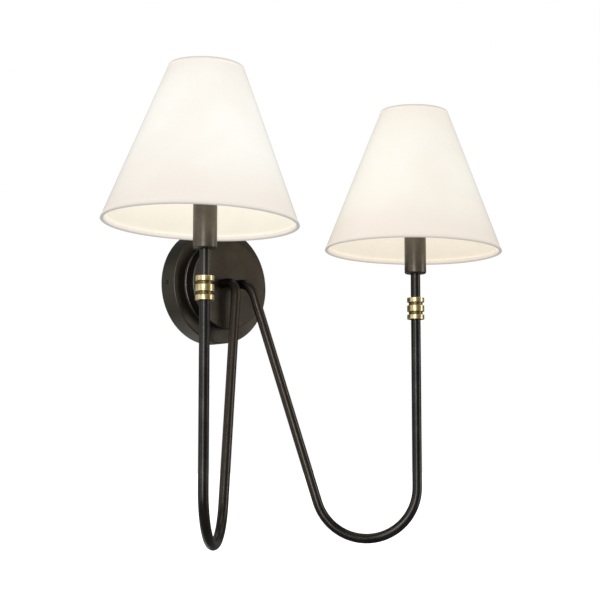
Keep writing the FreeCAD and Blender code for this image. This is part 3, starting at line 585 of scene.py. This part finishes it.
def make_glowing(name, strength, roughness):
    """Frosted lamp glass: white in its middle and warm where it turns away, a little uneven."""
    material, tree, shader = principled(
        name, 0.0, roughness, Specular_IOR_Level=0.5, Emission_Strength=strength)
    shader.inputs["Base Color"].default_value = (0.62, 0.56, 0.48, 1)
    mottle = noise(tree, object_place(tree), 300.0, 2.0, 0.5)
    middle = blend_colour(tree, mottle, LAMP_WARM, LAMP_WHITE)
    facing = tree.nodes.new("ShaderNodeLayerWeight")
    facing.inputs["Blend"].default_value = 0.5
    edge = between(tree, facing.outputs["Facing"], 0.25, 0.95)
    wire(tree, blend_colour(tree, edge, middle, LAMP_EDGE), shader.inputs["Emission Color"])
    bump(tree, mottle, 0.05, 0.0002, shader)
    return material


lit_glass = make_glowing("lit_glass", 0.95, 0.35)
filament = make_glowing("filament", 3.0, 0.5)
print("bulb finishes ready")

# %% [markdown]
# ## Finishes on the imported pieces
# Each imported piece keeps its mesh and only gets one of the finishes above.

# %% Give every metal, plastic and glass node its finish
node_finish = {
    "canopy": bronze_plate, "boss_cap": bronze_plate, "canopy_rim_screws": bronze_plate,
    "mounting_bracket": zinc, "arm_washers": zinc, "arm_lock_nuts": zinc, "cup_lock_nuts": zinc,
    "boss_screws": zinc, "ground_screw": green_screw, "wire_connectors": moulded_orange}
for side in COLLAR_AXES:
    node_finish.update({
        "arm_" + side: bronze_tube, "stem_" + side: bronze_tube, "cup_" + side: bronze_cup,
        "collar_" + side: polished_brass[side], "lead_" + side: sleeve,
        "holder_yoke_" + side: zinc, "holder_body_" + side: moulded_black,
        "holder_shell_" + side: plain_brass[side], "holder_contact_" + side: plain_brass[side],
        "bulb_base_" + side: plain_brass[side], "bulb_eyelet_" + side: plain_brass[side],
        "bulb_glass_" + side: lit_glass, "bulb_filament_" + side: filament,
        "bulb_clip_" + side: white_wire, "shade_bar_" + side: white_wire,
        "shade_top_ring_" + side: white_wire, "shade_bottom_ring_" + side: white_wire})
for name, material in node_finish.items():
    slots = nodes[name].data.materials
    slots.clear()
    slots.append(material)
print("nodes with a finish:", len(node_finish), "of", len(nodes))

# %% [markdown]
# ## Surfaces from numbers
# A shade is a surface of two parameters: how far round it, and how far along its section.
# The whole grid of points is worked out at once with numpy, and then handed to the mesh.

# %% Turned surfaces


def grid_faces(rows, columns):
    """Corner numbers of the quads of a grid that closes on itself both ways."""
    row, column = np.meshgrid(np.arange(rows), np.arange(columns), indexing="ij")
    next_row, next_column = (row + 1) % rows, (column + 1) % columns
    corners = (
        row * columns + column, row * columns + next_column,
        next_row * columns + next_column, next_row * columns + column)
    return np.stack([c.ravel() for c in corners], axis=1)


def make_piece(name, points, uv, material):
    """Mesh object from a closed grid of points (rows along the section, columns round the axis)."""
    rows, columns = points.shape[:2]
    faces = grid_faces(rows, columns)
    mesh = bpy.data.meshes.new(name)
    mesh.vertices.add(rows * columns)
    mesh.vertices.foreach_set("co", points.reshape(-1).astype(np.float32))
    mesh.loops.add(faces.size)
    mesh.loops.foreach_set("vertex_index", faces.reshape(-1).astype(np.int32))
    mesh.polygons.add(len(faces))
    mesh.polygons.foreach_set("loop_start", np.arange(0, faces.size, 4, dtype=np.int32))
    mesh.polygons.foreach_set("use_smooth", np.ones(len(faces), dtype=bool))
    mesh.update(calc_edges=True)
    layer = mesh.uv_layers.new(name="cloth")
    layer.data.foreach_set("uv", uv.reshape(-1).astype(np.float32))
    mesh.materials.append(material)
    piece = bpy.data.objects.new(name, mesh)
    bpy.context.scene.collection.objects.link(piece)
    return piece


def grid_uv(rows, columns, along, around):
    """UV of each face corner in metres: around along the circle, along up the section."""
    column = np.arange(columns)
    u = np.stack([column, column + 1, column + 1, column], axis=1) / columns * around
    bottom, top = along, np.append(along[1:], along[-1] + (along[-1] - along[-2]))
    v = np.stack([bottom, bottom, top, top], axis=1)
    grid = np.empty((rows, columns, 4, 2))
    grid[..., 0] = u[None]
    grid[..., 1] = v[:, None]
    return grid


print("a 4 by 5 closed grid has", len(grid_faces(4, 5)), "faces")

# %% [markdown]
# ## Cloth that glows
# Linen is woven, so its colour and height change thread by thread; some threads are thicker than others.
# The lamp behind it makes it glow, most where the cloth is nearest to the bulb.
# Both effects are groups: the weave follows the cloth's own UV, which is in metres,
# and the glow follows the distance from the bulb.

# %% Weave and glow groups
THREADS_PER_METRE = 1700.0
SLUBS_ACROSS = (22.0, 700.0, 1.0)
SLUBS_DOWN = (700.0, 22.0, 1.0)
LAMP_REACH = 0.09


def make_weave():
    """Two crossed sets of threads from sines of u and v, and slubs from stretched noise."""
    group, given, result = new_group(
        "linen_weave",
        [("Cloth", "Vector", (0, 0, 0)), ("Threads", "Float", THREADS_PER_METRE)],
        [("Mask", "Float"), ("Height", "Float")])
    parts = group.nodes.new("ShaderNodeSeparateXYZ")
    group.links.new(given.outputs["Cloth"], parts.inputs[0])
    turns = step(group, "MULTIPLY", given.outputs["Threads"], 2 * math.pi)
    warp = step(group, "SINE", step(group, "MULTIPLY", parts.outputs["X"], turns))
    weft = step(group, "SINE", step(group, "MULTIPLY", parts.outputs["Y"], turns))
    height = step(group, "MULTIPLY", step(group, "ADD", warp, weft), 0.25)
    threads = []
    for stretch in (SLUBS_ACROSS, SLUBS_DOWN):
        stretched = group.nodes.new("ShaderNodeVectorMath")
        stretched.operation = "MULTIPLY"
        group.links.new(given.outputs["Cloth"], stretched.inputs[0])
        stretched.inputs[1].default_value = stretch
        threads.append(between(group, noise(group, stretched.outputs[0], 1.0, 2.0, 0.5), 0.35, 0.75))
    slubs = step(group, "MULTIPLY", step(group, "ADD", *threads), 0.5)
    group.links.new(slubs, result.inputs["Mask"])
    group.links.new(step(group, "ADD", height, slubs), result.inputs["Height"])
    return group


def make_lamp_glow():
    """Brightness of a lit cloth: one over (1 + squared distance from the lamp over reach squared)."""
    group, given, result = new_group(
        "lamp_glow",
        [("Place", "Vector", (0, 0, 0)), ("Lamp", "Vector", (0, 0, 0)),
         ("Reach", "Float", LAMP_REACH)],
        [("Mask", "Float")])
    apart = group.nodes.new("ShaderNodeVectorMath")
    apart.operation = "DISTANCE"
    group.links.new(given.outputs["Place"], apart.inputs[0])
    group.links.new(given.outputs["Lamp"], apart.inputs[1])
    share = step(group, "DIVIDE", apart.outputs["Value"], given.outputs["Reach"])
    bright = step(group, "DIVIDE", 1.0, step(group, "ADD", 1.0, step(group, "MULTIPLY", share, share)))
    group.links.new(bright, result.inputs["Mask"])
    return group


linen_weave = make_weave()
lamp_glow = make_lamp_glow()
print("groups:", linen_weave.name, lamp_glow.name)

# %% [markdown]
# ## Linen, binding and liner
# The outside of a shade is linen, its edges are bound with the same linen, and its inside is a smooth liner.
# Seen slantwise, a lit shade is a little dimmer, since the light has more cloth to pass.
# A coat with a grey tint and no gloss does just that: it takes more light the longer its way through.
# The lap at the back, given as two angles in radians, lets less light through because the cloth lies double.

# %% Cloth finishes
LAMP_HEIGHT = 0.100
LAP_START, LAP_END = 1.50, 1.64
CLOTH_UV_RADIUS = 0.07
LINEN_WHITE = (0.70, 0.68, 0.655, 1)
CLOTH_TINT = (0.975, 0.975, 0.975, 1)
LIT_FOOT, LIT_BELLY, LIT_CLOUD = (0.622, 0.553, 0.490), (0.722, 0.715, 0.655), (0.602, 0.520, 0.445)
LIT_THREAD, LIT_LAP = (0.48, 0.43, 0.37, 1), (0.42, 0.36, 0.30, 1)
LIT_FOLD, LIT_LEG = (0.20, 0.188, 0.175), (0.56, 0.51, 0.45)
LIT_BINDING_THREAD = (0.30, 0.27, 0.23, 1)
# painted light: the liner's glow from the bulb, far from it and near it
LINER_GLOW_FAR, LINER_GLOW_NEAR = (0.50, 0.46, 0.39), (0.60, 0.575, 0.50)
LAMP_SHARE = {"left": (1.0, 1.0, 1.0), "right": (0.945, 0.915, 0.875)}


def lamp_light(side, colour):
    """Light of one lamp: the right one is a little weaker and warmer."""
    return tuple(value * share for value, share in zip(colour, LAMP_SHARE[side])) + (1,)


def cloth_place(tree):
    """The cloth's own UV, in metres round and up the strip or cone."""
    return tree.nodes.new("ShaderNodeUVMap").outputs["UV"]


def glow_mask(tree, side):
    """How near a point is to the bulb of its side, by the glow group."""
    return place_group(
        tree, lamp_glow, Place=object_place(tree),
        Lamp=(*COLLAR_AXES[side], LAMP_HEIGHT)).outputs["Mask"]


def woven(name, **plain):
    """Woven cloth, with the mask of its thick threads, still without its light."""
    material, tree, shader = principled(
        name, 0.0, 0.85, Specular_IOR_Level=0.2, Sheen_Weight=0.05, Emission_Strength=1.0, **plain)
    weave = place_group(
        tree, linen_weave, Cloth=cloth_place(tree), Threads=THREADS_PER_METRE)
    thick = step(tree, "MULTIPLY", weave.outputs["Mask"], 0.10)
    shaded = tuple(value * 0.72 for value in LINEN_WHITE[:3]) + (1,)
    colour = blend_colour(tree, thick, LINEN_WHITE, shaded)
    wire(tree, colour, shader.inputs["Base Color"])
    bump(tree, weave.outputs["Height"], 0.25, 0.0002, shader)
    return material, tree, shader, thick


def make_linen(side):
    """Cloth of the cone: pinkish and dimmer at its foot, white gold beside the bulb.

    It is darker in slow clouds, and where the cloth lies double in the lap.
    """
    material, tree, shader, thick = woven(
        "lit_linen_" + side,
        Coat_Weight=1.0, Coat_Roughness=0.9, Coat_IOR=1.0, Coat_Tint=CLOTH_TINT)
    light = blend_colour(
        tree, between(tree, glow_mask(tree, side), 0.33, 0.66),
        lamp_light(side, LIT_FOOT), lamp_light(side, LIT_BELLY))
    light = blend_colour(tree, thick, light, LIT_THREAD)
    clouds = between(tree, noise(tree, object_place(tree), 16.0, 2.0, 0.5), 0.42, 0.68, 0.0, 0.24)
    light = blend_colour(tree, clouds, light, lamp_light(side, LIT_CLOUD))
    around = apart_in_metres(tree, cloth_place(tree))[0]
    lap = ring_mask(
        tree, around, LAP_START * CLOTH_UV_RADIUS, LAP_END * CLOTH_UV_RADIUS, 0.0004)
    light = blend_colour(tree, step(tree, "MULTIPLY", lap, 0.55), light, LIT_LAP)
    wire(tree, light, shader.inputs["Emission Color"])
    return material


def make_binding_linen(side):
    """Cloth of the bindings: lit on its legs, dark under the fold, where the wire stops the light."""
    material, tree, shader, thick = woven("binding_linen_" + side)
    lit = tree.nodes.new("ShaderNodeAttribute")
    lit.attribute_name = "lit"
    light = blend_colour(
        tree, lit.outputs["Fac"], lamp_light(side, LIT_FOLD), lamp_light(side, LIT_LEG))
    wire(tree, blend_colour(tree, thick, light, LIT_BINDING_THREAD), shader.inputs["Emission Color"])
    return material


def make_liner(side):
    """Smooth translucent sheet that the cloth is glued to: it shows inside the shade. Its glow is painted
    light from the bulb, brighter nearer the bulb.
    """
    material, tree, shader = principled(
        "liner_" + side, 0.0, 0.5, Specular_IOR_Level=0.35, Emission_Strength=1.0)
    place = object_place(tree)
    cloudy = between(tree, noise(tree, place, 45.0, 3.0, 0.55), 0.3, 0.7)
    wire(tree, blend_colour(tree, cloudy, (0.59, 0.565, 0.52, 1), (0.62, 0.60, 0.56, 1)),
         shader.inputs["Base Color"])
    near = between(tree, glow_mask(tree, side), 0.25, 0.60)
    wire(tree, blend_colour(tree, near, lamp_light(side, LINER_GLOW_FAR), lamp_light(side, LINER_GLOW_NEAR)),
         shader.inputs["Emission Color"])
    bump(tree, noise(tree, place, 900.0, 2.0, 0.6), 0.05, 0.0002, shader)
    return material


linen = {side: make_linen(side) for side in COLLAR_AXES}
liner = {side: make_liner(side) for side in COLLAR_AXES}
binding_linen = {side: make_binding_linen(side) for side in COLLAR_AXES}
print("cloth:", [m.name for m in linen.values()])

# %% [markdown]
# ## The two shades
# Each shade is a flat, curved cut of linen on a stiff liner, rolled into a cone and lapped at the back.
# Its section is a loop: up the outside, over the edge, down the inside.
# The lap, where the cloth lies double, and a slight unevenness are added to the radius.
# The left shade leans more than the right one, as each hangs on its own bulb.

# %% Shade cloth
SHADE_BOTTOM, SHADE_TOP = 0.033, 0.187
CLOTH_BOTTOM_RADIUS, CLOTH_TOP_RADIUS = 0.09485, 0.0361
CLOTH_THICKNESS = 0.0008
EDGE_TUCK = 0.0006
BAR_HEIGHT = 0.179
LEAN = {"left": math.radians(2.3), "right": math.radians(1.3)}
AROUND = 288
UP_THE_SIDE = 64
LAP_STEP = 0.00035
LAP_SHARPNESS = 160
SWELL = 0.00009


def lean_and_place(points, side):
    """Turn points about the shade's bar, round Y, then stand them over the side's stem."""
    angle = LEAN[side]
    x, y, z = points[..., 0], points[..., 1], points[..., 2] - BAR_HEIGHT
    return np.stack([
        x * math.cos(angle) + z * math.sin(angle) + COLLAR_AXES[side][0],
        y + COLLAR_AXES[side][1],
        -x * math.sin(angle) + z * math.cos(angle) + BAR_HEIGHT], axis=-1)


def cone_radius(height):
    """Outer radius of the cloth, which falls evenly from the bottom to the top."""
    share = (height - SHADE_BOTTOM) / (SHADE_TOP - SHADE_BOTTOM)
    return CLOTH_BOTTOM_RADIUS + (CLOTH_TOP_RADIUS - CLOTH_BOTTOM_RADIUS) * share


def cloth_unevenness(angle, height, seed):
    """Slow swell of the stiff liner: three long waves round and up, a tenth of a millimetre or so."""
    swell = np.sin(3 * angle + seed) * np.sin(22 * height + seed)
    swell += 0.6 * np.sin(5 * angle - 31 * height + 2 * seed)
    swell += 0.4 * np.sin(8 * angle + 47 * height + 3 * seed)
    return SWELL * swell


def make_shade_cloth(side, seed):
    """Cone of cloth as a closed loop section carried round the axis, lapped at the wall side."""
    low, high = SHADE_BOTTOM + EDGE_TUCK, SHADE_TOP - EDGE_TUCK
    rise = np.linspace(low, high, UP_THE_SIDE)
    heights = np.concatenate([rise, rise[::-1]])[:, None]
    inside = np.repeat([0.0, CLOTH_THICKNESS], UP_THE_SIDE)[:, None]
    angle = np.linspace(0, 2 * math.pi, AROUND, endpoint=False)[None]
    up_step = np.tanh((angle - LAP_START) * LAP_SHARPNESS)
    down_step = np.tanh((angle - LAP_END) * LAP_SHARPNESS)
    lap = (up_step - down_step) / 2 * LAP_STEP
    radius = cone_radius(heights) - inside + cloth_unevenness(angle, heights, seed)
    radius = radius + lap * (inside == 0)
    points = np.stack([
        radius * np.cos(angle), radius * np.sin(angle), np.broadcast_to(heights, radius.shape)], axis=-1)
    slant = np.concatenate([rise, 2 * high - rise[::-1]])
    piece = make_piece(
        "shade_cloth_" + side, lean_and_place(points, side),
        grid_uv(len(slant), AROUND, slant, 2 * math.pi * CLOTH_UV_RADIUS), linen[side])
    piece.data.materials.append(liner[side])
    inner_rows = np.repeat(np.arange(len(slant)) >= UP_THE_SIDE, AROUND).astype(np.int32)
    piece.data.polygons.foreach_set("material_index", inner_rows)
    return piece


cloth_pieces = {side: make_shade_cloth(side, seed) for side, seed in (("left", 0.4), ("right", 2.1))}
for side, piece in cloth_pieces.items():
    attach(piece, "shade_" + side)
    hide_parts("shade_" + side)
    print(piece.name, "faces", len(piece.data.polygons))

# %% [markdown]
# ## Bindings
# A strip of the same linen is rolled round the wire and the raw edge at the bottom, and a thinner one
# at the top. Its section is a fold with its own thickness: down the outside, round the edge, up the inside.
# The strip is pulled round a curve, so it puckers: small waves that fade towards the fold.

# %% Bindings of the bottom and top edges
WIRE_ALLOWANCE = 0.0018
FOLD_SHADE = 0.0031
FOLD_FLATNESS = 0.55
BINDING_THICKNESS = 0.0004
BOTTOM_BINDING_WIDTH, TOP_BINDING_WIDTH = 0.0042, 0.0030
PUCKERS, SLOW_PUCKERS = 150, 89
PUCKER_HEIGHT, STRIP_SWELL = 0.00003, 0.00008
INNER_LEG_LIGHT, TOP_FOLD_LIGHT = 0.92, 0.45


def fold_section(edge, direction, legs, depth, proud):
    """Middle line of the fold: straight legs joined by a flattened half round.

    It is given as offsets in radius and height; direction is 1 where the strip lies above its edge.
    """
    half = depth / 2 + proud
    flat_half = half * FOLD_FLATNESS
    turn = np.linspace(0, math.pi, 40)
    radial = half * np.cos(turn)
    height = edge - direction * flat_half * np.sin(turn) + direction * flat_half
    leg = np.linspace(1, 0, 12, endpoint=False)
    leg_height = edge + direction * (flat_half + (legs - flat_half) * leg)
    down = np.stack([half - 0.25 * proud * leg, leg_height], 1)
    up = (down * (-1, 1))[::-1]
    return np.concatenate([down, np.stack([radial, height], 1), up])


def make_binding(name, side, edge, direction, legs, seed):
    """Fold carried round the cone's edge, thickened inwards, with puckers along its free edges.

    How much light a point gets rises smoothly with its distance from the fold.
    """
    depth = CLOTH_THICKNESS + WIRE_ALLOWANCE
    line = fold_section(edge, direction, legs, depth, BINDING_THICKNESS)
    tangent = np.gradient(line, axis=0)
    normal = np.stack([-tangent[:, 1], tangent[:, 0]], 1)
    normal /= np.linalg.norm(normal, axis=1, keepdims=True)
    middle = line.mean(0)
    if ((line - middle) * normal).sum() < 0:
        normal = -normal
    loop = np.concatenate([line, (line - normal * BINDING_THICKNESS)[::-1]])
    outward = np.concatenate([normal, normal[::-1]])
    angle = np.linspace(0, 2 * math.pi, 2 * AROUND, endpoint=False)
    free = np.clip(np.abs(loop[:, 1] - edge) / legs, 0, 1)[:, None]
    pucker = np.sin(PUCKERS * angle + seed)
    pucker += 0.6 * np.sin(SLOW_PUCKERS * angle + 2.3 * seed) * np.sin(7 * angle)
    swell = PUCKER_HEIGHT * pucker[None] * (0.3 + 0.7 * free)
    swell = swell + STRIP_SWELL * np.sin(4 * angle + seed)[None]
    radial = loop[:, 0][:, None] + swell * outward[:, 0][:, None]
    height = loop[:, 1][:, None] + swell * outward[:, 1][:, None]
    radius = cone_radius(height) - depth / 2 + radial
    points = np.stack([radius * np.cos(angle), radius * np.sin(angle), height], axis=-1)
    run = np.concatenate([[0], np.cumsum(np.linalg.norm(np.diff(loop, axis=0), axis=1))])
    share = np.clip(np.abs(loop[:, 1] - edge + direction * BINDING_THICKNESS) / FOLD_SHADE, 0, 1)
    lit = share * share * (3 - 2 * share) * np.where(loop[:, 0] < 0, INNER_LEG_LIGHT, 1.0)
    lit = np.maximum(lit, 0.0 if direction > 0 else TOP_FOLD_LIGHT)
    if direction < 0:
        points, run, lit = points[::-1], run, lit[::-1]
    piece = make_piece(
        name, lean_and_place(points, side),
        grid_uv(len(loop), 2 * AROUND, run, 2 * math.pi * float(cone_radius(edge))),
        binding_linen[side])
    layer = piece.data.attributes.new("lit", "FLOAT", "POINT")
    layer.data.foreach_set("value", np.repeat(lit, 2 * AROUND).astype(np.float32))
    return piece


for side, piece in cloth_pieces.items():
    bottom = make_binding(
        "bottom_binding_" + side, side, SHADE_BOTTOM, 1, BOTTOM_BINDING_WIDTH, 0.7)
    top = make_binding("top_binding_" + side, side, SHADE_TOP, -1, TOP_BINDING_WIDTH, 1.9)
    for strip, node in ((bottom, "shade_bottom_trim_"), (top, "shade_top_trim_")):
        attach(strip, "shade_" + side)
        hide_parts(node + side)
    print(bottom.name, "faces", len(bottom.data.polygons), "and", top.name, len(top.data.polygons))
